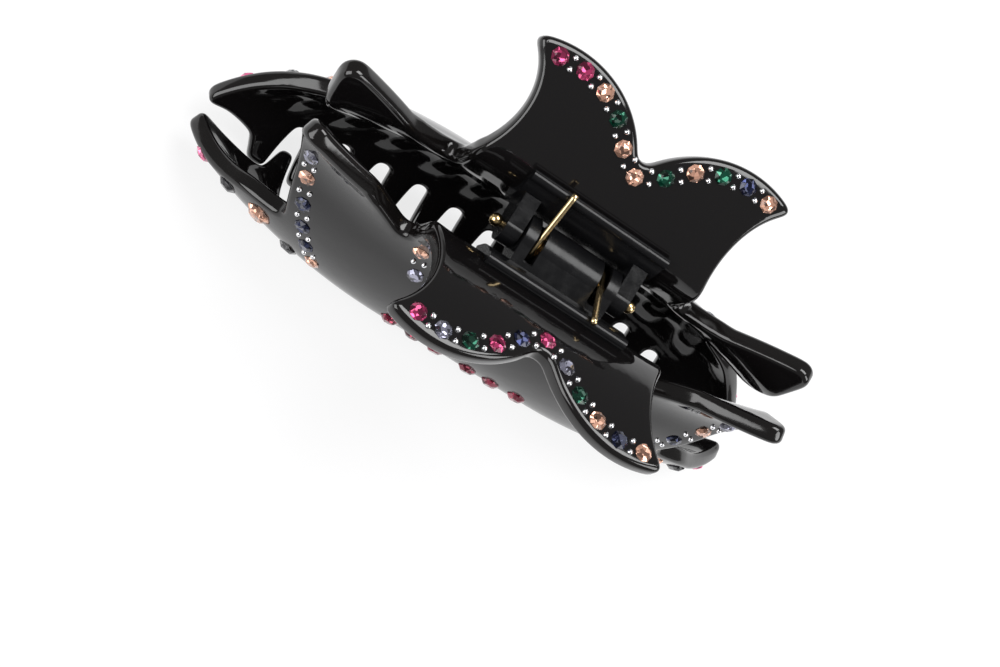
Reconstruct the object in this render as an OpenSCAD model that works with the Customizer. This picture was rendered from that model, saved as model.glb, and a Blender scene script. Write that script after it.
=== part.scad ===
// Butterfly hair claw: two identical jaws of polished sheet on a sprung hinge, set with stones.
// X runs along the hinge, Y across the jaws and Z up. The claw stands on its teeth at Z = 0.

/* [Sheet] */
// Thickness of the jaw sheet
sheet_t = 3.4; // [3:0.1:4]
// Distance of the sheet's middle from the hinge axis at the waist
waist_y = 7.9; // [7.6:0.1:9]
// Bend radius at the waist, at the sheet's middle
bend_r = 6; // [5.5:0.5:7]

/* [Thumb plate] */
// Angle through which the plate leaves the waist before it flattens out
plate_turn = 42; // [38:1:46]
// Radius of the plate's own gentle curve
plate_r = 33; // [28:1:40]
// Radius of each lobe's outer edge, seen from above
lobe_r = 20.8; // [20.2:0.1:21.4]
// Middle of that edge along the hinge
lobe_x = 17.75; // [17:0.05:18.2]
// Middle of that edge across the jaw
lobe_y = 5.75; // [5:0.05:6.5]
// Radius of the hollow side edge between waist and lobe tip
side_r = 11.65; // [11:0.05:12.2]
// Half the plate's width at the waist
waist_half = 23.6; // [22.6:0.1:23.8]

/* [Body] */
// Height of the upright waist below the hinge axis
waist_drop = 3; // [2.5:0.1:3.5]
// Bend radius below the waist, at the sheet's middle
low_bend_r = 20; // [19:0.5:21]
// Lean of the body wall below that bend
wall_lean = 30.5; // [30:0.1:31]
// Radius of the body wall, seen from the end
wall_r = 34.2; // [33.4:0.1:35]
// Radius of the hooked lower wall, at the sheet's middle
hook_r = 14.6; // [14.2:0.1:15]
// Angle of the hook from the wall to the tooth tips
hook_sweep = 103; // [101:0.5:104]
// Where the jaw starts to curve in towards its ends, along the hinge
curl_x = 16; // [15:0.5:17]
// Radius of that curve at the widest part of the wall
curl_r = 110; // [108:1:115]
// Outward lean of the upper wings above the waist
flare = 20; // [17:1:22]
// Half the span of the upper wings
upper_wing_x = 48.9; // [48:0.1:49.5]
// Height of the upper wings above the hinge axis
upper_wing_z = 8.3; // [7:0.1:8.8]
// Half the span of the lower wings
lower_wing_x = 62.2; // [61:0.1:62.6]

/* [Teeth] */
// Spacing of the teeth along the hinge
tooth_pitch = 8.2; // [8:0.1:8.3]
// Teeth on each jaw
tooth_count = 12; // [8:2:12]
// Width of a tooth at its root
tooth_root_w = 5.2; // [4.8:0.1:5.4]
// Width of a tooth at its tip
tooth_tip_w = 2.9; // [2.4:0.1:3]

/* [Hinge] */
// Half the length of the leaves' flanges
leaf_half = 13.8; // [13:0.1:15]
// Thickness of a leaf's flange
leaf_t = 1.5; // [1.2:0.1:1.6]
// Outer radius of the barrel that covers the spring
barrel_r = 4.1; // [3.9:0.05:4.2]
// Half the length of the barrel
barrel_half = 9.3; // [9:0.1:10]
// Radius of the hinge pin
pin_r = 0.7; // [0.6:0.05:0.8]
// Radial clearance of the pin in the moving knuckles
pin_gap = 0.05; // [0.02:0.01:0.08]

/* [Spring] */
// Diameter of the spring wire
wire_d = 1.1; // [0.9:0.05:1.15]
// Radius of the coil to the middle of the wire
coil_r = 2.4; // [2.2:0.05:2.45]
// Length of the coil along the hinge, between the middles of its end wires
coil_len = 12.8; // [12.8:0.1:13.4]
// Turns of the coil, counted to where the legs cross
coil_turns = 8; // [5:1:8]
// Slope of the straight legs
leg_slope = 34.7; // [33:0.1:37]

/* [Stones] */
// Radius of a stone in the rows
stone_r = 1.55; // [1.3:0.05:1.6]
// Radius of a silver bead
bead_r = 0.5; // [0.4:0.05:0.55]
// Inset of the rows from the edge of the sheet
row_inset = 2.9; // [2.7:0.1:3.4]
// Radius of a large gem on the wings
gem_r = 2.1; // [1.8:0.1:2.3]

/* [Hidden] */
$fn = 96;
half_t = sheet_t / 2;
reach = 200;

// Section of the sheet, as arcs from the plate tip to the tooth tips (across, up)
bend_c = [waist_y + bend_r, 0];
plate_end = 38;
plate_start = bend_c + bend_r * [-cos(plate_turn), sin(plate_turn)];
plate_c = plate_start + plate_r * [cos(plate_turn), -sin(plate_turn)];
low_bend_c = [waist_y + low_bend_r, -waist_drop];
wall_c = low_bend_c - (low_bend_r + wall_r) * [cos(wall_lean), sin(wall_lean)];
hook_c = wall_c + [wall_r - hook_r, 0];
curl_y = hook_c[0] + hook_r - curl_r;
// The hinge axis stands this high above the ground
axis_z = hook_r + half_t - hook_c[1];

// Bend of the upper wings above the waist, and their length beyond it
flare_r = 5;
flare_c = [waist_y + flare_r, -waist_drop];
flare_len = 12;
// Outer sides of the end teeth
end_x = 50.2;
start_x = -46.2;
start_z = -42.2;
// Least distance between the tips of the lower wings
tip_gap = 0.6;
// Corner radius at the root of a tooth gap
gap_round = 0.8;
// Turn of the curved ends
wing_turn = 32;
overlap = 1.5;
// Tooth tips end at this plane
tip_y = hook_c[0] + hook_r * cos(hook_sweep);
// Body outline seen from the front: along the hinge, up, and the corner's radius
body_edge = [
    [waist_half - 0.1, -7.5, 1.8],
    [upper_wing_x, upper_wing_z, 2.2],
    [47.5, -3.5, 15],
    [40.4, -23.5, 1.6],
    [48.2, -26.6, 12],
    [lower_wing_x, -40.2, 1.2],
    [57, -41.2, 12],
    [end_x, -43.6, 0.8]
];
outline_drop = 60;

// Spring, at the middle of the wire
coil_rings = 8;
wire_sides = 6;
leg_reach = 11.6;
slot_w = wire_d + 0.6;

// Knuckles of the moving leaf
knuckle_gap = 0.3;
knuckle_w = 3;
knuckle_r = 2.9;
barrel_wall = 0.75;
end_wall = 1.2;
head_r = 1.15;

// Rounded outlines

function unit(v) = v / norm(v);
function turn_to(a, b) = b - a > 180 ? b - a - 360 : b - a < -180 ? b - a + 360 : b - a;
function round_corner(a, b, c, r, n = 7) =
    let (u = unit(a - b), v = unit(c - b))
    let (half = acos(u * v) / 2)
    let (o = b + unit(u + v) * r / sin(half))
    let (p = b + u * r / tan(half) - o, q = b + v * r / tan(half) - o)
    let (a0 = atan2(p[1], p[0]))
    let (sweep = turn_to(a0, atan2(q[1], q[0])))
    [for (i = [0 : n]) o + r * [cos(a0 + sweep * i / n), sin(a0 + sweep * i / n)]];
function flat2(p) = [p[0], p[1]];
function round_edge(pts) = [
    for (i = [1 : len(pts) - 2])
        each round_corner(flat2(pts[i - 1]), flat2(pts[i]), flat2(pts[i + 1]), pts[i][2])
];

// The sheet's section: arcs from the plate tip to the waist, and on to the tooth tips

function arc(c, r, a0, a1, n) = [for (i = [0 : n]) c + r * [cos(a0 + (a1 - a0) * i / n), sin(a0 + (a1 - a0) * i / n)]];
function rest(list) = [for (i = [1 : len(list) - 1]) list[i]];
function turned(list) = [for (i = [len(list) - 1 : -1 : 0]) list[i]];
function plate_face(w) = concat(
    arc(plate_c, plate_r - w, 180 - plate_turn - plate_end, 180 - plate_turn, 9),
    rest(arc(bend_c, bend_r - w, 180 - plate_turn, 180, 6)));
function low_face(w) = concat(
    arc(low_bend_c, low_bend_r - w, 180, 180 + wall_lean, 6),
    rest(arc(wall_c, wall_r + w, wall_lean, 0, 8)),
    rest(arc(hook_c, hook_r + w, 0, -hook_sweep, 14)));
function wing_face(w) = concat(
    [flare_c + (flare_r - w) * [-cos(flare), sin(flare)] + flare_len * [sin(flare), cos(flare)]],
    arc(flare_c, flare_r - w, 180 - flare, 180, 3));

module section() {
    polygon(concat(plate_face(half_t), low_face(half_t), turned(low_face(-half_t)), turned(plate_face(-half_t))));
}

module body_section() {
    polygon(concat(wing_face(half_t), rest(low_face(half_t)),
        turned(low_face(-half_t)), rest(turned(wing_face(-half_t)))));
}

module band(c, r, t, a0, a1) {
    far = 2 * (r + t);
    intersection() {
        translate(c) difference() {
            circle(r + t / 2);
            circle(r - t / 2);
        }
        polygon([c, c + far * [cos(a0), sin(a0)], c + far * [cos(a0), sin(a1)], c + far * [cos(a1), sin(a1)]]);
    }
}

module along_hinge(half) {
    rotate([90, 0, 90]) linear_extrude(2 * half, center = true) children();
}

module across_jaw() {
    rotate([90, 0, 0]) linear_extrude(reach, center = true) children();
}

// Outlines that the formed sheet is cut to

module body_outline() {
    top = [waist_half - 0.1, -waist_drop - overlap / 2];
    side = round_edge(concat([top], body_edge, [[end_x, -outline_drop]]));
    start_edge = [for (i = [0 : len(body_edge) - 2]) body_edge[i]];
    start_side = round_edge(concat([top], start_edge, [[-start_x, start_z]]));
    bottom = [[end_x, -outline_drop], [start_x, -outline_drop], [start_x, start_z]];
    polygon(concat([top], side, bottom, [for (p = turned(concat([top], start_side))) [-p[0], p[1]]]));
}

module plate_outline() {
    side_c = [waist_half + 9.3, lobe_y + 9.05];
    difference() {
        union() {
            for (s = [-1, 1]) translate([s * lobe_x, lobe_y]) circle(lobe_r);
        }
        for (s = [-1, 1]) {
            translate([s * side_c[0], side_c[1]]) circle(side_r);
            translate([s * (waist_half + 10), 0]) square([20, 2 * lobe_y + 10], center = true);
            translate([s * (lobe_x + 20), 0]) square([22, 2 * (side_c[1] + 5)], center = true);
        }
        translate([-reach / 2, -reach / 2]) square([reach, reach / 2]);
    }
}

module tooth_gap(depth_y) {
    root_half = (tooth_pitch - tooth_root_w) / 2;
    tip_half = (tooth_pitch - tooth_tip_w) / 2;
    far_y = tip_y - 1;
    round_y = depth_y - gap_round;
    translate([0, 0, hook_c[1] - reach / 2 - 2]) linear_extrude(reach / 2) {
        for (s = [-1, 1]) translate([s * (root_half - gap_round), round_y]) circle(gap_round);
        polygon([[-root_half, round_y], [gap_round - root_half, depth_y], [root_half - gap_round, depth_y],
            [root_half, round_y], [tip_half, far_y], [-tip_half, far_y]]);
    }
}

// The jaw, as the back one: its plate and body bulge towards +Y

module jaw_sheet() {
    gap_root_y = hook_c[0] + hook_r * 0.69;
    end_root_y = hook_c[0] + hook_r * 0.54;
    end_shift = 0.5;
    first_gap = -(tooth_count - 0.5) / 2 * tooth_pitch;
    difference() {
        union() {
            intersection() {
                curved() section();
                translate([0, 0, -waist_drop - overlap]) linear_extrude(reach / 2) plate_outline();
            }
            intersection() {
                curved() body_section();
                across_jaw() body_outline();
            }
        }
        for (i = [0 : tooth_count]) {
            x = first_gap + i * tooth_pitch + (i == 0 ? end_shift : 0);
            root = i == 0 || i == tooth_count ? end_root_y : gap_root_y;
            translate([x, 0, 0]) tooth_gap(root - curve_drop(x));
        }
        translate([-reach / 2, tip_y - reach, -reach]) cube(reach);
        // The wing tips stop short of each other
        for (s = [-1, 1]) translate([s * (end_x + 0.3 + reach / 2), tip_gap / 2 - reach / 2, 0]) cube(reach, center = true);
    }
}

// How far the curve has brought the wall in
function curve_drop(x) = abs(x) > curl_x ? curl_r - sqrt(curl_r * curl_r - pow(abs(x) - curl_x, 2)) : 0;

// A section drawn straight along the hinge and curved in at both ends
module curved() {
    union() {
        along_hinge(curl_x) children();
        for (s = [-1, 1]) translate([s * curl_x, curl_y, 0]) rotate(90)
            rotate_extrude(angle = -s * wing_turn) translate([-curl_y, 0]) children();
    }
}

module place_back() {
    translate([0, 0, axis_z]) children();
}

module place_front() {
    translate([0, 0, axis_z]) rotate(180) children();
}

// Places on the outer and inner faces, for the stones

function plate_angle(y) = acos((plate_c[0] - y) / (plate_r + half_t));
function plate_place(x, y) = [x, y, plate_c[1] + (plate_r + half_t) * sin(plate_angle(y))];
low_end_z = low_bend_c[1] - (low_bend_r - half_t) * sin(wall_lean);
// Lean of the outer face at a height, and its distance across the jaw
function wall_angle(z) =
    z > low_end_z ? asin((low_bend_c[1] - z) / (low_bend_r - half_t))
        : z > wall_c[1] ? asin((z - wall_c[1]) / (wall_r + half_t)) : asin((z - hook_c[1]) / (hook_r + half_t));
function wall_out(z) =
    z > low_end_z ? low_bend_c[0] - (low_bend_r - half_t) * cos(wall_angle(z))
        : z > wall_c[1] ? wall_c[0] + (wall_r + half_t) * cos(wall_angle(z))
            : hook_c[0] + (hook_r + half_t) * cos(wall_angle(z));

module on_plate(p) {
    translate(plate_place(p[0], p[1])) rotate([90 - plate_angle(p[1]), 0, 0]) children();
}

module on_wall(x, z) {
    a = wall_angle(z);
    out = wall_out(z) - curl_y;
    bend = abs(x) > curl_x ? asin((abs(x) - curl_x) / out) : 0;
    foot = abs(x) > curl_x ? curl_x : abs(x);
    translate([sign(x) * foot, curl_y, z]) rotate(-sign(x) * bend)
        translate([0, out, 0]) rotate([a - 90, 0, 0]) children();
}

// A flat-backed stone with a table, a crown and a girdle of eight sides

module stone(r, sink = 0.5) {
    sides = 8;
    rise = 0.42 * r;
    table = 0.56 * r;
    ring = function (rad, h, off) [for (i = [0 : sides - 1])
        [rad * cos((i + off) * 360 / sides), rad * sin((i + off) * 360 / sides), h]];
    pts = concat(ring(r, -sink, 0), ring(r, 0.12, 0), ring(table, rise, 0.5));
    polyhedron(pts, concat(
        [[for (i = [0 : sides - 1]) i]],
        [for (i = [0 : sides - 1]) each let (j = (i + 1) % sides)
            [[i, i + sides, j + sides, j],
             [i + sides, i + 2 * sides, j + sides],
             [j + sides, i + 2 * sides, j + 2 * sides]]],
        [[for (i = [sides - 1 : -1 : 0]) i + 2 * sides]]));
}

// Row along the plate's edge: eleven stones from one tip over the notch to the other
row_r = lobe_r - row_inset;
row_steps = 5;
row_tip_a = 78;
row_step_a = 15.1;
notch_stone_y = 15.3;
function row_place(i) =
    let (a = row_tip_a + row_step_a * (row_steps - abs(i)))
    i == 0 ? [0, notch_stone_y] : [sign(i) * (lobe_x + row_r * cos(a)), lobe_y + row_r * sin(a)];
function row_pair(i, side) =
    let (p = row_place(i), q = row_place(i + 1))
    let (d = unit(q - p))
    (p + q) / 2 + side * 0.95 * [-d[1], d[0]];

module plate_stones(list) {
    for (i = list) on_plate(row_place(i)) stone(stone_r);
}

module plate_beads() {
    for (i = [-row_steps : row_steps - 1])
        for (side = [-1, 1])
            on_plate(row_pair(i, side)) sphere(bead_r, $fn = 24);
}

// Row along the end edge of each upper wing, and a short one at the plate's root, on the outer face
wing_row = [
    [43.8, -6.9], [42.1, -11.3], [39.8, -15.9], [37.3, -20.4], [34.5, -24.8], [31.4, -29.1],
    [20.4, -6.6], [18, -12.4]
];
row_ends = [0, 1, 2, 3, 4, 6];

module wing_stones(list, s) {
    for (i = list) on_wall(s * wing_row[i][0], wing_row[i][1]) stone(stone_r);
}

module wing_beads() {
    for (s = [-1, 1])
        for (i = row_ends) {
            d = unit(wing_row[i + 1] - wing_row[i]);
            m = (wing_row[i] + wing_row[i + 1]) / 2;
            for (side = [-1, 1]) {
                p = m + side * 0.95 * [-d[1], d[0]];
                on_wall(s * p[0], p[1]) sphere(bead_r, $fn = 24);
            }
        }
}

// Large gems along the upper edge of the lower wings, and low on the body
module gems(list, r) {
    for (p = list) for (s = [-1, 1]) on_wall(s * p[0], p[1]) stone(r, 0.8);
}
pink_gems = [[56.2, -37.2]];
jet_gems = [[50.4, -32.4], [35.6, -34]];
peach_gems = [[43.6, -29.4]];
ruby_gems = [[3.6, -31.5], [8.6, -31], [14, -30]];

// Hinge

leaf_angle = 50;

module leaf_flange() {
    low = waist_drop - 0.5;
    along_hinge(leaf_half) {
        band(bend_c, bend_r + half_t + leaf_t / 2, leaf_t, 180 - leaf_angle, 180);
        translate([waist_y - half_t - leaf_t, -low]) square([leaf_t, low + 0.01]);
    }
    ridge = bend_c + (bend_r + half_t + leaf_t * 0.7) * [-cos(leaf_angle - 4), sin(leaf_angle - 4)];
    intersection() {
        translate([0, ridge[0], ridge[1]]) rotate([0, 90, 0])
            cylinder(h = 2 * leaf_half, r = 1, center = true);
        along_hinge(leaf_half + 1) difference() {
            translate(ridge) circle(2);
            translate(bend_c) circle(bend_r + half_t);
        }
    }
}

module bar(r, x0, x1) {
    translate([x0, 0, 0]) rotate([0, 90, 0]) cylinder(h = x1 - x0, r = r);
}

module fixed_leaf() {
    bore = barrel_r - barrel_wall;
    web_top = bend_c + (bend_r + half_t + leaf_t / 2) * [-cos(18), sin(18)];
    difference() {
        union() {
            leaf_flange();
            bar(barrel_r, -barrel_half, barrel_half);
            along_hinge(barrel_half) polygon([[0, barrel_r], web_top, [web_top[0], -2], [0, -barrel_r]]);
        }
        bar(bore, -barrel_half + end_wall, barrel_half - end_wall);
        bar(pin_r + pin_gap, -leaf_half - 5, leaf_half + 5);
        // Slots that let the spring's legs out
        leg_slot(coil_len / 2, -barrel_r - 3);
        leg_slot(-coil_len / 2, -coil_r - 1);
    }
}

module leg_slot(x, y0) {
    y1 = barrel_r + 0.2;
    translate([x - slot_w / 2, y0, 0.4]) cube([slot_w, y1 - y0, barrel_r + 6]);
}

module moving_leaf() {
    inner = barrel_half + knuckle_gap;
    arm_y = waist_y - half_t - leaf_t / 2;
    arm_z = 4;
    difference() {
        union() {
            leaf_flange();
            for (s = [-1, 1]) {
                x0 = s > 0 ? inner : -inner - knuckle_w;
                bar(knuckle_r, x0, x0 + knuckle_w);
                translate([x0 + knuckle_w / 2, 0, 0]) along_hinge(knuckle_w / 2)
                    polygon([[0, knuckle_r], [arm_y, arm_z], [arm_y, -arm_z / 2], [0, -knuckle_r]]);
            }
        }
        bar(pin_r + pin_gap, -leaf_half - 5, leaf_half + 5);
    }
}

// Spring: one wire, straight leg, coil, straight leg

leg_turn = [90 + leg_slope, 90 - leg_slope + 360 * coil_turns];
function coil_point(t) =
    let (a = leg_turn[0] + t * (leg_turn[1] - leg_turn[0]))
    [coil_len * (t - 0.5), coil_r * cos(a), coil_r * sin(a)];
coil_total = round((leg_turn[1] - leg_turn[0]) / 360 * coil_rings);
coil_points = [for (i = [0 : coil_total]) coil_point(i / coil_total)];
leg_way = [0, cos(leg_slope), sin(leg_slope)];
wire_path = concat(
    [coil_points[0] + leg_reach * leg_way],
    coil_points,
    [coil_points[coil_total] + leg_reach * [0, -leg_way[1], leg_way[2]]]
);
function path_dir(p, i) =
    i == 0 ? unit(p[1] - p[0])
        : i == len(p) - 1 ? unit(p[i] - p[i - 1])
            : unit(unit(p[i + 1] - p[i]) + unit(p[i] - p[i - 1]));
function wire_ring(p, i) =
    let (d = path_dir(p, i))
    let (n = unit(cross(d, [0.94, 0.2, 0.28])))
    let (b = cross(d, n))
    [for (k = [0 : wire_sides - 1])
        p[i] + wire_d / 2 * (n * cos(360 * k / wire_sides) + b * sin(360 * k / wire_sides))];
least_gap = min([for (i = [0 : coil_total]) for (j = [i + coil_rings - 2 : 1 : coil_total])
    norm(coil_points[i] - coil_points[j])]) - wire_d;
echo(spring_least_gap = least_gap);

module sweep_wire(p) {
    n = len(p);
    s = wire_sides;
    polyhedron([for (i = [0 : n - 1]) each wire_ring(p, i)], concat(
        [for (k = [1 : s - 2]) [0, k, k + 1]],
        [for (i = [0 : n - 2]) for (k = [0 : s - 1]) let (m = (k + 1) % s)
            each [[i * s + k, (i + 1) * s + k, (i + 1) * s + m], [i * s + k, (i + 1) * s + m, i * s + m]]],
        [for (k = [1 : s - 2]) [(n - 1) * s, (n - 1) * s + k + 1, (n - 1) * s + k]]));
}

// Sub-parts

module front_jaw() { color("#141214") place_front() mirror([1, 0, 0]) jaw_sheet(); }
module back_jaw() { color("#141214") place_back() mirror([1, 0, 0]) jaw_sheet(); }
module front_hinge_leaf() { color("#1a191b") place_front() fixed_leaf(); }
module back_hinge_leaf() { color("#1a191b") place_back() moving_leaf(); }
module hinge_pin() {
    end = barrel_half + knuckle_gap + knuckle_w + 0.4;
    color("#c9a65a") place_back() {
        bar(pin_r, -end - 0.5, end + 0.5);
        for (s = [-1, 1]) translate([s * (end + head_r * 0.7), 0, 0]) sphere(head_r);
    }
}
module torsion_spring() { color("#c2a05c") place_back() sweep_wire(wire_path); }

module front_plate_peach_stones() { color("#f0b48c") place_front() plate_stones([-5, -3]); }
module front_plate_emerald_stones() { color("#0f6b4c") place_front() plate_stones([3, -2]); }
module front_plate_rose_stones() { color("#c8327a") place_front() plate_stones([5, 2, 0]); }
module front_plate_blue_stones() { color("#2a3a6e") place_front() plate_stones([1, -4]); }
module front_plate_clear_stones() { color("#c9c6d6") place_front() plate_stones([4, -1]); }
module front_plate_beads() { color("#d8d8da") place_front() plate_beads(); }
module back_plate_peach_stones() { color("#f0b48c") place_back() plate_stones([-3, -1, 0, 2, 5]); }
module back_plate_emerald_stones() { color("#0f6b4c") place_back() plate_stones([-2, 1, 3]); }
module back_plate_rose_stones() { color("#d63a86") place_back() plate_stones([-5, -4]); }
module back_plate_blue_stones() { color("#3a4256") place_back() plate_stones([4]); }
module back_plate_beads() { color("#d8d8da") place_back() plate_beads(); }

module wing_colour(list) { for (s = [-1, 1]) wing_stones(list, s); }
module front_wing_peach_stones() { color("#f0a888") place_front() wing_colour([1, 5, 6]); }
module front_wing_blue_stones() { color("#2c3550") place_front() wing_colour([2, 3, 4]); }
module front_wing_clear_stones() { color("#b9b6c0") place_front() wing_colour([0, 7]); }
module front_wing_beads() { color("#d8d8da") place_front() wing_beads(); }
module back_wing_peach_stones() { color("#f0a888") place_back() wing_colour([1, 5, 6]); }
module back_wing_blue_stones() { color("#2c3550") place_back() wing_colour([2, 3, 4]); }
module back_wing_clear_stones() { color("#b9b6c0") place_back() wing_colour([0, 7]); }
module back_wing_beads() { color("#d8d8da") place_back() wing_beads(); }

module front_pink_gems() { color("#f06aa8") place_front() gems(pink_gems, gem_r * 0.85); }
module front_peach_gems() { color("#f2a27c") place_front() gems(peach_gems, gem_r * 1.2); }
module front_jet_gems() { color("#1c1c24") place_front() gems(jet_gems, gem_r * 0.9); }
module front_ruby_gems() { color("#7c1634") place_front() gems(ruby_gems, gem_r * 0.9); }
module back_pink_gems() { color("#f06aa8") place_back() gems(pink_gems, gem_r * 0.85); }
module back_peach_gems() { color("#f2a27c") place_back() gems(peach_gems, gem_r * 1.2); }
module back_jet_gems() { color("#1c1c24") place_back() gems(jet_gems, gem_r * 0.9); }
module back_ruby_gems() { color("#7c1634") place_back() gems(ruby_gems, gem_r * 0.9); }

front_jaw();
back_jaw();
front_hinge_leaf();
back_hinge_leaf();
hinge_pin();
torsion_spring();
front_plate_peach_stones();
front_plate_emerald_stones();
front_plate_rose_stones();
front_plate_blue_stones();
front_plate_clear_stones();
front_plate_beads();
back_plate_peach_stones();
back_plate_emerald_stones();
back_plate_rose_stones();
back_plate_blue_stones();
back_plate_beads();
front_wing_peach_stones();
front_wing_blue_stones();
front_wing_clear_stones();
front_wing_beads();
back_wing_peach_stones();
back_wing_blue_stones();
back_wing_clear_stones();
back_wing_beads();
front_pink_gems();
front_peach_gems();
front_jet_gems();
front_ruby_gems();
back_pink_gems();
back_peach_gems();
back_jet_gems();
back_ruby_gems();
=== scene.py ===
import math
import bpy
import bmesh
import numpy as np
from mathutils import Matrix, Vector, kdtree
from mathutils.geometry import delaunay_2d_cdt


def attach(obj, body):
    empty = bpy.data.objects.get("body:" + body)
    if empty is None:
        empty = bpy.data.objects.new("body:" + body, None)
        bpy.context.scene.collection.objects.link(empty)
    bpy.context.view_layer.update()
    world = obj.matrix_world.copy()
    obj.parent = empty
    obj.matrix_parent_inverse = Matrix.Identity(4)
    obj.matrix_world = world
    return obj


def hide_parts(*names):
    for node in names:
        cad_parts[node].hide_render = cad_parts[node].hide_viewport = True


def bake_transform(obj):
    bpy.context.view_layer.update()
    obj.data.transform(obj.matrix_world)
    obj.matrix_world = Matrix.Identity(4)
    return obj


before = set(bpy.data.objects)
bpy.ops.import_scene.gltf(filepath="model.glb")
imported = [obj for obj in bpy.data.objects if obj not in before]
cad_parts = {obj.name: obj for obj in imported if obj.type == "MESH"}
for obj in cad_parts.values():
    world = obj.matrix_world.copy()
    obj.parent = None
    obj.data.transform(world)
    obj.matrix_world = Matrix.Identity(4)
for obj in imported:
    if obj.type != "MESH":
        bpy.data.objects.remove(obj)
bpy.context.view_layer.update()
mm = 0.001
axisZ = 46.8086
print("frame loaded")


# Sheet of the jaws. Lengths are in millimetres from the hinge axis, as the back jaw.
sheet = {
    "thickness": 3.4,
    "waistY": 7.9,
    "waistDrop": 3.0,
    "bend": (13.9, 0.0, 6.0),
    "plate": (33.965, -18.066, 33.0),
    "flare": (12.9, -3.0, 5.0),
    "lowBend": (27.9, -3.0, 20.0),
    "wall": (-18.8003, -30.5086, 34.2),
    "hook": (0.7997, -30.5086, 14.6),
    "plateTurn": math.radians(42),
    "flareTurn": math.radians(20),
    "wallLean": math.radians(30.5),
    "flareFrom": 30.3,
    "curlX": 16.0,
    "curlY": -94.6003,
    "curlR": 110.0,
    "lobe": (17.75, 5.75, 20.8),
    "scoop": (32.9, 14.8, 11.65),
    "scoopEnd": math.radians(215.5),
    "tipBlunt": 0.9,
    "notchBlunt": 2.0,
    "rootX": 23.5,
    "rootZ": -2.0,
    "rootReach": 26,
    "pitch": 8.2,
    "toothRoot": 5.2,
    "toothTip": 2.9,
    "gapsEachSide": 5,
    "tipY": -2.48,
    "gapRootY": 10.9,
    "gapRound": 0.8,
    "step": 0.32,
    "soften": 0.85,
    "softenAgain": 0.25,
    "rimRadius": 1.05,
    "rimSteps": 5,
    "gridStep": 1.3,
    "gridClear": 0.6,
}
bendTop = sheet["bend"][2] * sheet["plateTurn"]
flareTop = sheet["flare"][2] * sheet["flareTurn"] - sheet["waistDrop"]
lowEnd = sheet["waistDrop"] + sheet["lowBend"][2] * sheet["wallLean"]
wallEnd = lowEnd + sheet["wall"][2] * sheet["wallLean"]


def sheetSection(u, s):
    drop = sheet["waistDrop"]
    wing = (np.abs(u) > sheet["flareFrom"]) & (s > -drop)
    plain = ~wing
    y, z, ny, nz = np.full_like(s, sheet["waistY"]), s.copy(), np.ones_like(s), np.zeros_like(s)
    flareAngle = math.pi - np.minimum(s + drop, flareTop + drop) / sheet["flare"][2]
    plateAngle = math.pi - sheet["plateTurn"] - (s - bendTop) / sheet["plate"][2]
    parts = [
        (plain & (s >= bendTop), "plate", plateAngle, -1),
        (plain & (s >= 0) & (s < bendTop), "bend", math.pi - s / sheet["bend"][2], -1),
        (wing, "flare", flareAngle, -1),
        ((s < -drop) & (s >= -lowEnd), "lowBend", math.pi + (-s - drop) / sheet["lowBend"][2], -1),
        ((s < -lowEnd) & (s >= -wallEnd), "wall", sheet["wallLean"] - (-s - lowEnd) / sheet["wall"][2], 1),
        (s < -wallEnd, "hook", -(-s - wallEnd) / sheet["hook"][2], 1),
    ]
    for mask, name, angle, way in parts:
        cy, cz, r = sheet[name]
        a = angle[mask]
        y[mask], z[mask] = cy + r * np.cos(a), cz + r * np.sin(a)
        ny[mask], nz[mask] = way * np.cos(a), way * np.sin(a)
    beyond = np.where(wing, np.maximum(s - flareTop, 0), 0)
    y += beyond * math.sin(sheet["flareTurn"])
    z += beyond * math.cos(sheet["flareTurn"])
    return y, z, ny, nz


def sheetPoint(u, s, w):
    y, z, ny, nz = sheetSection(u, s)
    foot = np.minimum(np.abs(u), sheet["curlX"])
    turn = (np.abs(u) - foot) / sheet["curlR"]
    rho = y + w * ny - sheet["curlY"]
    x = np.sign(u) * (foot + rho * np.sin(turn))
    return np.stack([x, sheet["curlY"] + rho * np.cos(turn), z + w * nz], axis=1)


def alongFromZ(z):
    drop = -sheet["waistDrop"] - z
    if drop < 0:
        cy, cz, r = sheet["flare"]
        if -drop < r * math.sin(sheet["flareTurn"]):
            return r * math.asin(-drop / r) - sheet["waistDrop"]
        return flareTop + (-drop - r * math.sin(sheet["flareTurn"])) / math.cos(sheet["flareTurn"])
    if drop < sheet["lowBend"][2] * math.sin(sheet["wallLean"]):
        return -sheet["waistDrop"] - sheet["lowBend"][2] * math.asin(drop / sheet["lowBend"][2])
    rise = z - sheet["wall"][1]
    if rise > 0:
        return -lowEnd - sheet["wall"][2] * (sheet["wallLean"] - math.asin(rise / sheet["wall"][2]))
    return -wallEnd - sheet["hook"][2] * math.asin(min(1, -rise / sheet["hook"][2]))


def alongFromPlan(y):
    cy, cz, r = sheet["bend"]
    if y <= cy - r * math.cos(sheet["plateTurn"]):
        return r * math.acos((cy - y) / r)
    cy, cz, r = sheet["plate"]
    return bendTop + r * (math.pi - sheet["plateTurn"] - math.acos((y - cy) / r))


def alongFromHook(y):
    cy, cz, r = sheet["hook"]
    return -wallEnd - r * math.acos((y - cy) / r)


def planPoint(x, y, along):
    over = max(0, abs(x) - sheet["curlX"])
    turn = math.atan2(over, y - sheet["curlY"])
    u = min(abs(x), sheet["curlX"]) + sheet["curlR"] * turn
    return math.copysign(u, x), along(sheet["curlY"] + math.hypot(over, y - sheet["curlY"]))


def wingPoint(x, z):
    s = alongFromZ(z)
    y = sheetSection(np.array([99.0]), np.array([s]))[0][0]
    turn = math.asin(max(0, x - sheet["curlX"]) / (y - sheet["curlY"]))
    return min(x, sheet["curlX"]) + sheet["curlR"] * turn, s


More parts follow.
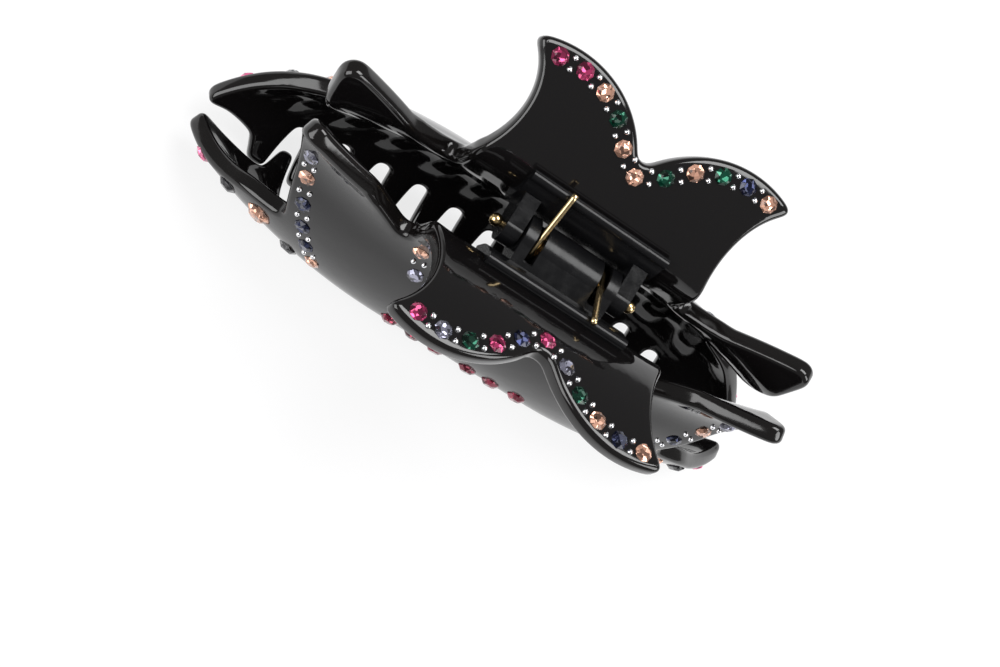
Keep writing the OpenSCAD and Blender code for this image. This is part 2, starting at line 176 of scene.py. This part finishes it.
def curlDrop(x):
    return sheet["curlR"] - math.sqrt(sheet["curlR"] ** 2 - max(0, abs(x) - sheet["curlX"]) ** 2)


def circleArc(c, a0, a1, count=40):
    return [(c[0] + c[2] * math.cos(a), c[1] + c[2] * math.sin(a)) for a in np.linspace(a0, a1, count)]


def plateSide():
    lobe, scoop = sheet["lobe"], sheet["scoop"]
    dx, dy = scoop[0] - lobe[0], scoop[1] - lobe[1]
    d = math.hypot(dx, dy)
    along = (lobe[2] ** 2 - scoop[2] ** 2 + d * d) / (2 * d)
    off = math.sqrt(lobe[2] ** 2 - along ** 2)
    tip = (lobe[0] + along * dx / d - off * dy / d, lobe[1] + along * dy / d + off * dx / d)
    notch = math.pi - math.acos(lobe[0] / lobe[2])
    tipTurn = math.atan2(tip[1] - lobe[1], tip[0] - lobe[0])
    blunt = sheet["tipBlunt"]
    points = circleArc(lobe, notch - sheet["notchBlunt"] / lobe[2], tipTurn + blunt / lobe[2])
    first = math.atan2(tip[1] - scoop[1], tip[0] - scoop[0])
    points += circleArc(scoop, first + blunt / scoop[2], sheet["scoopEnd"])
    return [planPoint(x, y, alongFromPlan) for x, y in points]


# Edge of the wings seen from the front: along the hinge, up, and the corner's radius
wingEdge = {
    "corners": [(23.5, -7.5, 1.8), (48.9, 8.3, 2.2), (47.5, -3.5, 15), (40.4, -23.5, 1.6), (48.2, -26.6, 12),
                (62.2, -40.2, 1.2), (57, -41.2, 12)],
    "rightLow": [(50.2, -43.6, 0.8)],
    "rightAim": (50.2, -60),
    "rightEnd": [(50.0, 0.4), (49.0, -2.48)],
    "leftAim": (46.2, -42.2),
    "leftEnd": [(48.0, 3.9), (46.2, 3.6), (45.2, 1.4), (44.1, -2.48)],
}


def roundCorner(a, b, c, r, count=12):
    b, u, v = Vector(b), (Vector(a) - Vector(b)).normalized(), (Vector(c) - Vector(b)).normalized()
    half = u.angle(v) / 2
    centre = b + (u + v).normalized() * r / math.sin(half)
    p, q = b + u * r / math.tan(half) - centre, b + v * r / math.tan(half) - centre
    first = math.atan2(p.y, p.x)
    sweep = (math.atan2(q.y, q.x) - first + math.pi) % (2 * math.pi) - math.pi
    return circleArc((centre.x, centre.y, r), first, first + sweep, count + 1)


def wingSide(ending, lowCorners):
    rounded = wingEdge["corners"] + lowCorners
    corners = [(sheet["rootX"], 0)] + [c[:2] for c in rounded] + [ending]
    path = [(sheet["rootX"], sheet["rootZ"])]
    for i, corner in enumerate(rounded):
        path += roundCorner(corners[i], corners[i + 1], corners[i + 2], corner[2])
    fine = []
    for p, q in zip(path[:-1], path[1:]):
        count = max(1, int(math.dist(p, q)))
        fine += [(p[0] + (q[0] - p[0]) * i / count, p[1] + (q[1] - p[1]) * i / count) for i in range(count)]
    waistZ = -sheet["waistDrop"]
    return [(wingPoint(x, waistZ)[0], z) if x < sheet["rootReach"] and z > waistZ else wingPoint(x, z)
            for x, z in fine + [path[-1]]]


def hookPoints(plan):
    return [planPoint(x, y, alongFromHook) for x, y in plan]


def toothPath():
    pitch, corner = sheet["pitch"], sheet["gapRound"]
    rootHalf = (pitch - sheet["toothRoot"]) / 2
    tipHalf = (pitch - sheet["toothTip"]) / 2
    turns = np.linspace(0, math.pi / 2, 5)
    points = []
    last = sheet["gapsEachSide"]
    for k in range(last, -last - 1, -1):
        middle = pitch / 4 + pitch * k
        rootY = sheet["gapRootY"] - curlDrop(middle) - corner
        inside = rootHalf - corner
        points.append((middle + tipHalf, sheet["tipY"]))
        points += [(middle + inside + corner * math.cos(a), rootY + corner * math.sin(a)) for a in turns]
        points += [(middle - inside - corner * math.sin(a), rootY + corner * math.cos(a)) for a in turns]
        points.append((middle - tipHalf, sheet["tipY"]))
    return hookPoints(points)


def jawOutline():
    rightWing = wingSide(wingEdge["rightAim"], wingEdge["rightLow"]) + hookPoints(wingEdge["rightEnd"])
    leftWing = wingSide(wingEdge["leftAim"], []) + hookPoints(wingEdge["leftEnd"])
    left = plateSide() + leftWing
    return plateSide() + rightWing + toothPath() + [(-u, s) for u, s in reversed(left)]


def evenLoop(points, step):
    p = np.array(points + points[:1], float)
    run = np.concatenate([[0], np.cumsum(np.linalg.norm(np.diff(p, axis=0), axis=1))])
    count = int(run[-1] / step)
    at = np.linspace(0, run[-1], count, endpoint=False)
    return np.stack([np.interp(at, run, p[:, 0]), np.interp(at, run, p[:, 1])], axis=1)


def softLoop(loop, width, step):
    reach = int(4 * width / step)
    k = np.arange(-reach, reach + 1)
    weight = np.exp(-0.5 * (k * step / width) ** 2)
    weight /= weight.sum()
    return sum(w * np.roll(loop, -i, axis=0) for i, w in zip(k, weight))


def loopNormals(loop):
    d = np.roll(loop, -1, axis=0) - np.roll(loop, 1, axis=0)
    n = np.stack([d[:, 1], -d[:, 0]], axis=1)
    n /= np.linalg.norm(n, axis=1)[:, None]
    area = 0.5 * np.sum(loop[:, 0] * np.roll(loop[:, 1], -1) - loop[:, 1] * np.roll(loop[:, 0], -1))
    return n if area > 0 else -n


def insideLoop(points, loop):
    a, b = loop, np.roll(loop, -1, axis=0)
    inside = np.zeros(len(points), bool)
    for p, q in zip(a, b):
        crosses = (p[1] > points[:, 1]) != (q[1] > points[:, 1])
        if crosses.any():
            x = (q[0] - p[0]) * (points[:, 1] - p[1]) / (q[1] - p[1] + 1e-12) + p[0]
            inside ^= crosses & (points[:, 0] < x)
    return inside


def sheetMesh():
    loop = softLoop(evenLoop(jawOutline(), sheet["step"]), sheet["soften"], sheet["step"])
    loop = softLoop(evenLoop([tuple(p) for p in loop], sheet["step"]), sheet["softenAgain"], sheet["step"])
    normal = loopNormals(loop)
    half, r = sheet["thickness"] / 2, sheet["rimRadius"]
    rim = []
    for k in range(sheet["rimSteps"] + 1):
        a = math.pi / 2 * k / sheet["rimSteps"]
        rim.append((r * (1 - math.cos(a)), half - r + r * math.sin(a)))
    rings = [(d, w) for d, w in reversed(rim)] + [(d, -w) for d, w in rim]
    inner = loop - normal * r
    low, high = inner.min(0), inner.max(0)
    pace = sheet["gridStep"]
    gx, gs = np.meshgrid(np.arange(low[0], high[0], pace), np.arange(low[1], high[1], pace))
    grid = np.stack([gx.ravel(), gs.ravel()], axis=1)
    grid = grid[insideLoop(grid, inner)]
    tree = kdtree.KDTree(len(inner))
    for i, p in enumerate(inner):
        tree.insert((p[0], p[1], 0), i)
    tree.balance()
    grid = np.array([p for p in grid if tree.find((p[0], p[1], 0))[2] > sheet["gridClear"] * pace])
    points = [Vector(p) for p in np.concatenate([inner, grid])]
    made = delaunay_2d_cdt(points, [], [list(range(len(inner)))], 1, 1e-6)
    flat = np.array([tuple(v) for v in made[0]])
    faces = [list(f) for f in made[2]]
    verts, polys, rimShare = [], [], []

    def addVerts(uv, w, share):
        base = sum(len(v) for v in verts)
        verts.append(sheetPoint(uv[:, 0], uv[:, 1], np.full(len(uv), w)))
        rimShare.append(np.full(len(uv), share))
        return base

    top = addVerts(flat, half, 0.0)
    polys += [[top + i for i in f] for f in faces]
    low = addVerts(flat, -half, 0.0)
    polys += [[low + i for i in reversed(f)] for f in faces]
    starts = [addVerts(loop - normal * d, w, 1 - d / r) for d, w in rings]
    count = len(loop)
    for a, b in zip(starts[:-1], starts[1:]):
        polys += [[a + i, b + i, b + (i + 1) % count, a + (i + 1) % count] for i in range(count)]
    return np.concatenate(verts), polys, np.concatenate(rimShare)


def makeJaw(name, turned, data):
    verts, polys, rimShare = data
    v = verts * (np.array([1, -1, 1]) if turned else np.array([-1, 1, 1]))
    v = (v + np.array([0, 0, axisZ])) * mm
    mesh = bpy.data.meshes.new(name)
    mesh.from_pydata([tuple(p) for p in v], [], polys)
    attribute = mesh.attributes.new("rimShare", "FLOAT", "POINT")
    attribute.data.foreach_set("value", rimShare.astype(np.float32))
    work = bmesh.new()
    work.from_mesh(mesh)
    bmesh.ops.remove_doubles(work, verts=work.verts, dist=2e-6)
    bmesh.ops.recalc_face_normals(work, faces=work.faces)
    for f in work.faces:
        f.smooth = True
    work.to_mesh(mesh)
    work.free()
    piece = bpy.data.objects.new(name, mesh)
    bpy.context.collection.objects.link(piece)
    return piece


jawData = sheetMesh()
backSheet = makeJaw("backSheet", False, jawData)
frontSheet = makeJaw("frontSheet", True, jawData)
for piece, node, body in ((backSheet, "back_jaw", "back"), (frontSheet, "front_jaw", "front")):
    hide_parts(node)
    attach(piece, body)
print("jaws", len(backSheet.data.vertices))


# Spring, as one round wire
spring = {"wire": 1.1, "radius": 2.4, "length": 12.8, "turns": 8, "slope": math.radians(34.7), "leg": 11.6,
          "perTurn": 28, "legSteps": 12, "sides": 12}


def springPath():
    a0 = math.pi / 2 + spring["slope"]
    a1 = math.pi / 2 - spring["slope"] + 2 * math.pi * spring["turns"]
    count = int((a1 - a0) / (2 * math.pi) * spring["perTurn"])
    t = np.linspace(0, 1, count + 1)
    a = a0 + t * (a1 - a0)
    r = spring["radius"]
    coil = np.stack([spring["length"] * (t - 0.5), r * np.cos(a), r * np.sin(a)], axis=1)
    way = np.array([0, math.cos(spring["slope"]), math.sin(spring["slope"])])
    legs = np.linspace(spring["leg"], 0, spring["legSteps"], endpoint=False)[:, None]
    first = coil[0] + legs * way
    last = coil[-1] + legs[::-1] * way * np.array([1, -1, 1])
    return np.concatenate([first, coil, last])


def tube(name, path, radius, sides):
    d = np.gradient(path, axis=0)
    d /= np.linalg.norm(d, axis=1)[:, None]
    aside = np.array([0.94, 0.2, 0.28])
    n = np.cross(d, aside)
    n /= np.linalg.norm(n, axis=1)[:, None]
    b = np.cross(d, n)
    a = np.linspace(0, 2 * math.pi, sides, endpoint=False)[None, :, None]
    rings = path[:, None] + radius * (n[:, None] * np.cos(a) + b[:, None] * np.sin(a))
    verts = (rings.reshape(-1, 3) + np.array([0, 0, axisZ])) * mm
    polys = []
    for i in range(len(path) - 1):
        for k in range(sides):
            m = (k + 1) % sides
            polys.append((i * sides + k, i * sides + m, (i + 1) * sides + m, (i + 1) * sides + k))
    end = (len(path) - 1) * sides
    polys += [tuple(reversed(range(sides))), tuple(range(end, end + sides))]
    mesh = bpy.data.meshes.new(name)
    mesh.from_pydata([tuple(p) for p in verts], [], polys)
    mesh.polygons.foreach_set("use_smooth", [True] * len(polys))
    piece = bpy.data.objects.new(name, mesh)
    bpy.context.collection.objects.link(piece)
    return piece


springWire = tube("springWire", springPath(), spring["wire"] / 2, spring["sides"])
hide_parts("torsion_spring")
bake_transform(springWire)
print("spring")


# Materials
def newMaterial(name):
    made = bpy.data.materials.new(name)
    made.use_nodes = True
    return made, made.node_tree, made.node_tree.nodes["Principled BSDF"]


def noiseGroup():
    group = bpy.data.node_groups.new("surfaceNoise", "ShaderNodeTree")
    for name in ("Scale", "Low", "High"):
        group.interface.new_socket(name, in_out="INPUT", socket_type="NodeSocketFloat")
    group.interface.new_socket("Value", in_out="OUTPUT", socket_type="NodeSocketFloat")
    nodes, links = group.nodes, group.links
    start, end = nodes.new("NodeGroupInput"), nodes.new("NodeGroupOutput")
    place, noise = nodes.new("ShaderNodeTexCoord"), nodes.new("ShaderNodeTexNoise")
    spread = nodes.new("ShaderNodeMapRange")
    noise.inputs["Detail"].default_value = 4
    links.new(place.outputs["Object"], noise.inputs["Vector"])
    links.new(start.outputs["Scale"], noise.inputs["Scale"])
    links.new(noise.outputs["Fac"], spread.inputs["Value"])
    spread.inputs["From Min"].default_value = 0.3
    spread.inputs["From Max"].default_value = 0.7
    links.new(start.outputs["Low"], spread.inputs["To Min"])
    links.new(start.outputs["High"], spread.inputs["To Max"])
    links.new(spread.outputs["Result"], end.inputs["Value"])
    return group


surfaceNoise = noiseGroup()


def addNoise(tree, scale, low, high):
    node = tree.nodes.new("ShaderNodeGroup")
    node.node_tree = surfaceNoise
    node.inputs["Scale"].default_value = scale
    node.inputs["Low"].default_value = low
    node.inputs["High"].default_value = high
    return node


def addBump(tree, shader, scale, strength, distance):
    grain = addNoise(tree, scale, 0, 1)
    bump = tree.nodes.new("ShaderNodeBump")
    bump.inputs["Strength"].default_value = strength
    bump.inputs["Distance"].default_value = distance
    tree.links.new(grain.outputs["Value"], bump.inputs["Height"])
    tree.links.new(bump.outputs["Normal"], shader.inputs["Normal"])


acetate = {"face": (0.0045, 0.004, 0.0042, 1), "rim": (0.0045, 0.0038, 0.0037, 1), "grain": 220,
           "rough": (0.03, 0.09), "rimRough": 0.05, "ior": 1.5, "bump": (60, 0.04, 0.002)}


def acetateMaterial():
    made, tree, shader = newMaterial("blackAcetate")
    rim = tree.nodes.new("ShaderNodeAttribute")
    rim.attribute_name = "rimShare"
    mix = tree.nodes.new("ShaderNodeMix")
    mix.data_type = "RGBA"
    mix.inputs["A"].default_value = acetate["face"]
    mix.inputs["B"].default_value = acetate["rim"]
    tree.links.new(rim.outputs["Fac"], mix.inputs["Factor"])
    tree.links.new(mix.outputs["Result"], shader.inputs["Base Color"])
    rough = addNoise(tree, acetate["grain"], *acetate["rough"])
    soft = tree.nodes.new("ShaderNodeMath")
    soft.operation = "MULTIPLY_ADD"
    tree.links.new(rim.outputs["Fac"], soft.inputs[0])
    soft.inputs[1].default_value = acetate["rimRough"]
    tree.links.new(rough.outputs["Value"], soft.inputs[2])
    tree.links.new(soft.outputs["Value"], shader.inputs["Roughness"])
    shader.inputs["IOR"].default_value = acetate["ior"]
    addBump(tree, shader, *acetate["bump"])
    return made


# Stone facets: each Voronoi cell tilts the normal, which is the real facet shape, and also scales the stone
# colour darker or brighter. That scaling is painted highlight and painted shade for facets catching the
# light or lying in shade.
facets = {"scale": 1350.0, "tilt": 1.1, "paintedShade": 0.1, "paintedGlint": 1.6}


def facetGroup():
    group = bpy.data.node_groups.new("stoneFacets", "ShaderNodeTree")
    group.interface.new_socket("Colour", in_out="INPUT", socket_type="NodeSocketColor")
    group.interface.new_socket("Colour", in_out="OUTPUT", socket_type="NodeSocketColor")
    group.interface.new_socket("Normal", in_out="OUTPUT", socket_type="NodeSocketVector")
    nodes, links = group.nodes, group.links
    start, end = nodes.new("NodeGroupInput"), nodes.new("NodeGroupOutput")
    place, cells = nodes.new("ShaderNodeTexCoord"), nodes.new("ShaderNodeTexVoronoi")
    cells.inputs["Scale"].default_value = facets["scale"]
    links.new(place.outputs["Object"], cells.inputs["Vector"])
    parts, spread = nodes.new("ShaderNodeSeparateColor"), nodes.new("ShaderNodeMapRange")
    links.new(cells.outputs["Color"], parts.inputs["Color"])
    links.new(parts.outputs["Red"], spread.inputs["Value"])
    spread.inputs["To Min"].default_value = facets["paintedShade"]
    spread.inputs["To Max"].default_value = facets["paintedGlint"]
    # Painted facet highlight and shade: the stone colour is scaled per cell.
    paintedFacetLight = nodes.new("ShaderNodeVectorMath")
    paintedFacetLight.operation = "SCALE"
    links.new(start.outputs["Colour"], paintedFacetLight.inputs[0])
    links.new(spread.outputs["Result"], paintedFacetLight.inputs["Scale"])
    links.new(paintedFacetLight.outputs["Vector"], end.inputs["Colour"])
    centre, lean, face, level = [nodes.new("ShaderNodeVectorMath") for _ in range(4)]
    for node, operation in ((centre, "SUBTRACT"), (lean, "SCALE"), (face, "ADD"), (level, "NORMALIZE")):
        node.operation = operation
    centre.inputs[1].default_value = (0.5, 0.5, 0.5)
    lean.inputs["Scale"].default_value = facets["tilt"]
    surface = nodes.new("ShaderNodeNewGeometry")
    links.new(cells.outputs["Color"], centre.inputs[0])
    links.new(centre.outputs["Vector"], lean.inputs[0])
    links.new(lean.outputs["Vector"], face.inputs[0])
    links.new(surface.outputs["Normal"], face.inputs[1])
    links.new(face.outputs["Vector"], level.inputs[0])
    links.new(level.outputs["Vector"], end.inputs["Normal"])
    return group


stoneFacets = facetGroup()


glass = {"rough": (900, 0.04, 0.1), "coat": 0.6, "coatRough": 0.03}


def glassMaterial(name, colour, metal):
    made, tree, shader = newMaterial(name)
    cut = tree.nodes.new("ShaderNodeGroup")
    cut.node_tree = stoneFacets
    cut.inputs["Colour"].default_value = (*colour, 1)
    tree.links.new(cut.outputs["Colour"], shader.inputs["Base Color"])
    tree.links.new(cut.outputs["Normal"], shader.inputs["Normal"])
    shader.inputs["Metallic"].default_value = metal
    rough = addNoise(tree, *glass["rough"])
    tree.links.new(rough.outputs["Value"], shader.inputs["Roughness"])
    shader.inputs["Coat Weight"].default_value = glass["coat"]
    shader.inputs["Coat Roughness"].default_value = glass["coatRough"]
    return made


def metalMaterial(name, colour, rough):
    made, tree, shader = newMaterial(name)
    shader.inputs["Base Color"].default_value = (*colour, 1)
    shader.inputs["Metallic"].default_value = 1
    grain = addNoise(tree, 1500, rough * 0.7, rough * 1.3)
    tree.links.new(grain.outputs["Value"], shader.inputs["Roughness"])
    return made


# Hinge plastic: the base colour is the plastic's own black. The specular level is kept low so the hinge
# reads darker, which is painted shade for the hinge lying in shade.
leaf = {"colour": (0.0045, 0.0045, 0.005, 1), "shadeDimmedSpecular": 0.25, "rough": (500, 0.16, 0.28),
        "bump": (900, 0.05, 0.0002), "edge": 0.00028, "edgeSteps": 3, "edgeAngle": math.radians(40)}


def leafMaterial():
    made, tree, shader = newMaterial("hingePlastic")
    shader.inputs["Base Color"].default_value = leaf["colour"]
    shader.inputs["Specular IOR Level"].default_value = leaf["shadeDimmedSpecular"]
    rough = addNoise(tree, *leaf["rough"])
    tree.links.new(rough.outputs["Value"], shader.inputs["Roughness"])
    addBump(tree, shader, *leaf["bump"])
    return made


glassColours = {
    "peach": ((0.70, 0.38, 0.27), 0.65),
    "emerald": ((0.002, 0.062, 0.034), 0.65),
    "rose": ((0.40, 0.035, 0.12), 0.6),
    "blue": ((0.009, 0.014, 0.052), 0.65),
    "clear": ((0.24, 0.24, 0.31), 0.75),
    "pink": ((0.85, 0.18, 0.36), 0.55),
    "jet": ((0.008, 0.008, 0.012), 0.3),
    "ruby": ((0.19, 0.006, 0.03), 0.55),
}
materials = {name + "_glass": glassMaterial(name + "Glass", *v) for name, v in glassColours.items()}
materials["silver_bead"] = metalMaterial("silverBead", (0.80, 0.80, 0.82), 0.16)
materials["brass_pin"] = metalMaterial("brassPin", (0.72, 0.52, 0.25), 0.16)
materials["brass_wire"] = metalMaterial("brassWire", (0.66, 0.50, 0.27), 0.2)
materials["hinge_plastic"] = leafMaterial()
materials["black_acetate"] = acetateMaterial()


def paint(piece, material):
    piece.data.materials.clear()
    piece.data.materials.append(material)


def slotOf(node):
    if node.endswith("_leaf"):
        return "hinge_plastic"
    if node.endswith("beads"):
        return "silver_bead"
    if node == "hinge_pin":
        return "brass_pin"
    for name in glassColours:
        if "_" + name + "_" in node:
            return name + "_glass"
    return None


for node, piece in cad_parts.items():
    slotName = slotOf(node)
    if slotName is None:
        continue
    paint(piece, materials[slotName])
    if slotName == "hinge_plastic":
        soft = piece.modifiers.new("soft", "BEVEL")
        soft.width = leaf["edge"]
        soft.segments = leaf["edgeSteps"]
        soft.limit_method = "ANGLE"
        soft.angle_limit = leaf["edgeAngle"]
        soft.harden_normals = True
    smooth = slotName in ("silver_bead", "brass_pin", "hinge_plastic")
    piece.data.polygons.foreach_set("use_smooth", [smooth] * len(piece.data.polygons))
for piece in (backSheet, frontSheet):
    paint(piece, materials["black_acetate"])
paint(springWire, materials["brass_wire"])
print("materials")


# Floor, light and camera
ground = {"colour": (0.86, 0.86, 0.87, 1), "rough": 0.7, "seenWhite": 0.8, "mirroredWhite": 0.55, "size": 6,
          "drop": -0.0002}


def floorMaterial():
    made, tree, shader = newMaterial("paleFloor")
    shader.inputs["Base Color"].default_value = ground["colour"]
    shader.inputs["Roughness"].default_value = ground["rough"]
    glow = tree.nodes.new("ShaderNodeEmission")
    glow.inputs["Color"].default_value = (1, 1, 1, 1)
    glow.inputs["Strength"].default_value = 1.0
    path = tree.nodes.new("ShaderNodeLightPath")
    mirrored, share = tree.nodes.new("ShaderNodeMath"), tree.nodes.new("ShaderNodeMath")
    mirrored.operation, share.operation = "MULTIPLY", "MULTIPLY_ADD"
    mirrored.inputs[1].default_value = ground["mirroredWhite"]
    share.inputs[1].default_value = ground["seenWhite"]
    mix = tree.nodes.new("ShaderNodeMixShader")
    tree.links.new(path.outputs["Is Glossy Ray"], mirrored.inputs[0])
    tree.links.new(path.outputs["Is Camera Ray"], share.inputs[0])
    tree.links.new(mirrored.outputs["Value"], share.inputs[2])
    tree.links.new(share.outputs["Value"], mix.inputs["Fac"])
    tree.links.new(shader.outputs["BSDF"], mix.inputs[1])
    tree.links.new(glow.outputs["Emission"], mix.inputs[2])
    tree.links.new(mix.outputs["Shader"], tree.nodes["Material Output"].inputs["Surface"])
    return made


bpy.ops.mesh.primitive_plane_add(size=ground["size"], location=(0, 0, ground["drop"]))
floor = bpy.context.object
floor.name = "floor"
paint(floor, floorMaterial())

lights = [
    {"name": "topBox", "at": (0.15, 0.35, 0.9), "size": (0.7, 0.5), "power": 9},
    {"name": "leftBox", "at": (-0.75, -0.35, 0.55), "size": (0.8, 0.65), "power": 8},
    {"name": "rightBox", "at": (0.7, -0.2, 0.6), "size": (0.35, 0.6), "power": 4},
]
lightAim = Vector((0, 0, 0.03))
for info in lights:
    lamp = bpy.data.lights.new(info["name"], "AREA")
    lamp.shape = "RECTANGLE"
    lamp.size, lamp.size_y = info["size"]
    lamp.energy = info["power"]
    holder = bpy.data.objects.new(info["name"], lamp)
    bpy.context.collection.objects.link(holder)
    holder.location = info["at"]
    holder.rotation_euler = (lightAim - Vector(info["at"])).to_track_quat("-Z", "Y").to_euler()

world = bpy.data.worlds.new("studio")
bpy.context.scene.world = world
world.use_nodes = True
backdrop = world.node_tree.nodes["Background"]
backdrop.inputs["Color"].default_value = (1, 1, 1, 1)
backdrop.inputs["Strength"].default_value = 0.22

# Camera in millimetres from the hinge axis; its focal length is in pixels of a picture 1000 wide
camera = {"focal": 1500.0, "width": 1000, "sensor": 36, "at": (-75.3, -70.6, 226.5),
          "right": (0.8074, 0.4625, 0.3663), "down": (0.5122, -0.8576, -0.0462)}
right = Vector(camera["right"]).normalized()
up = -Vector(camera["down"])
up = (up - right * up.dot(right)).normalized()
lens = bpy.data.cameras.new("camera")
lens.sensor_width = camera["sensor"]
lens.lens = camera["sensor"] * camera["focal"] / camera["width"]
holder = bpy.data.objects.new("camera", lens)
bpy.context.collection.objects.link(holder)
place = Matrix((right, up, right.cross(up))).transposed().to_4x4()
place.translation = (Vector(camera["at"]) + Vector((0, 0, axisZ))) * mm
holder.matrix_world = place
bpy.context.scene.camera = holder
bpy.context.scene.view_settings.view_transform = "Standard"
print("stage")
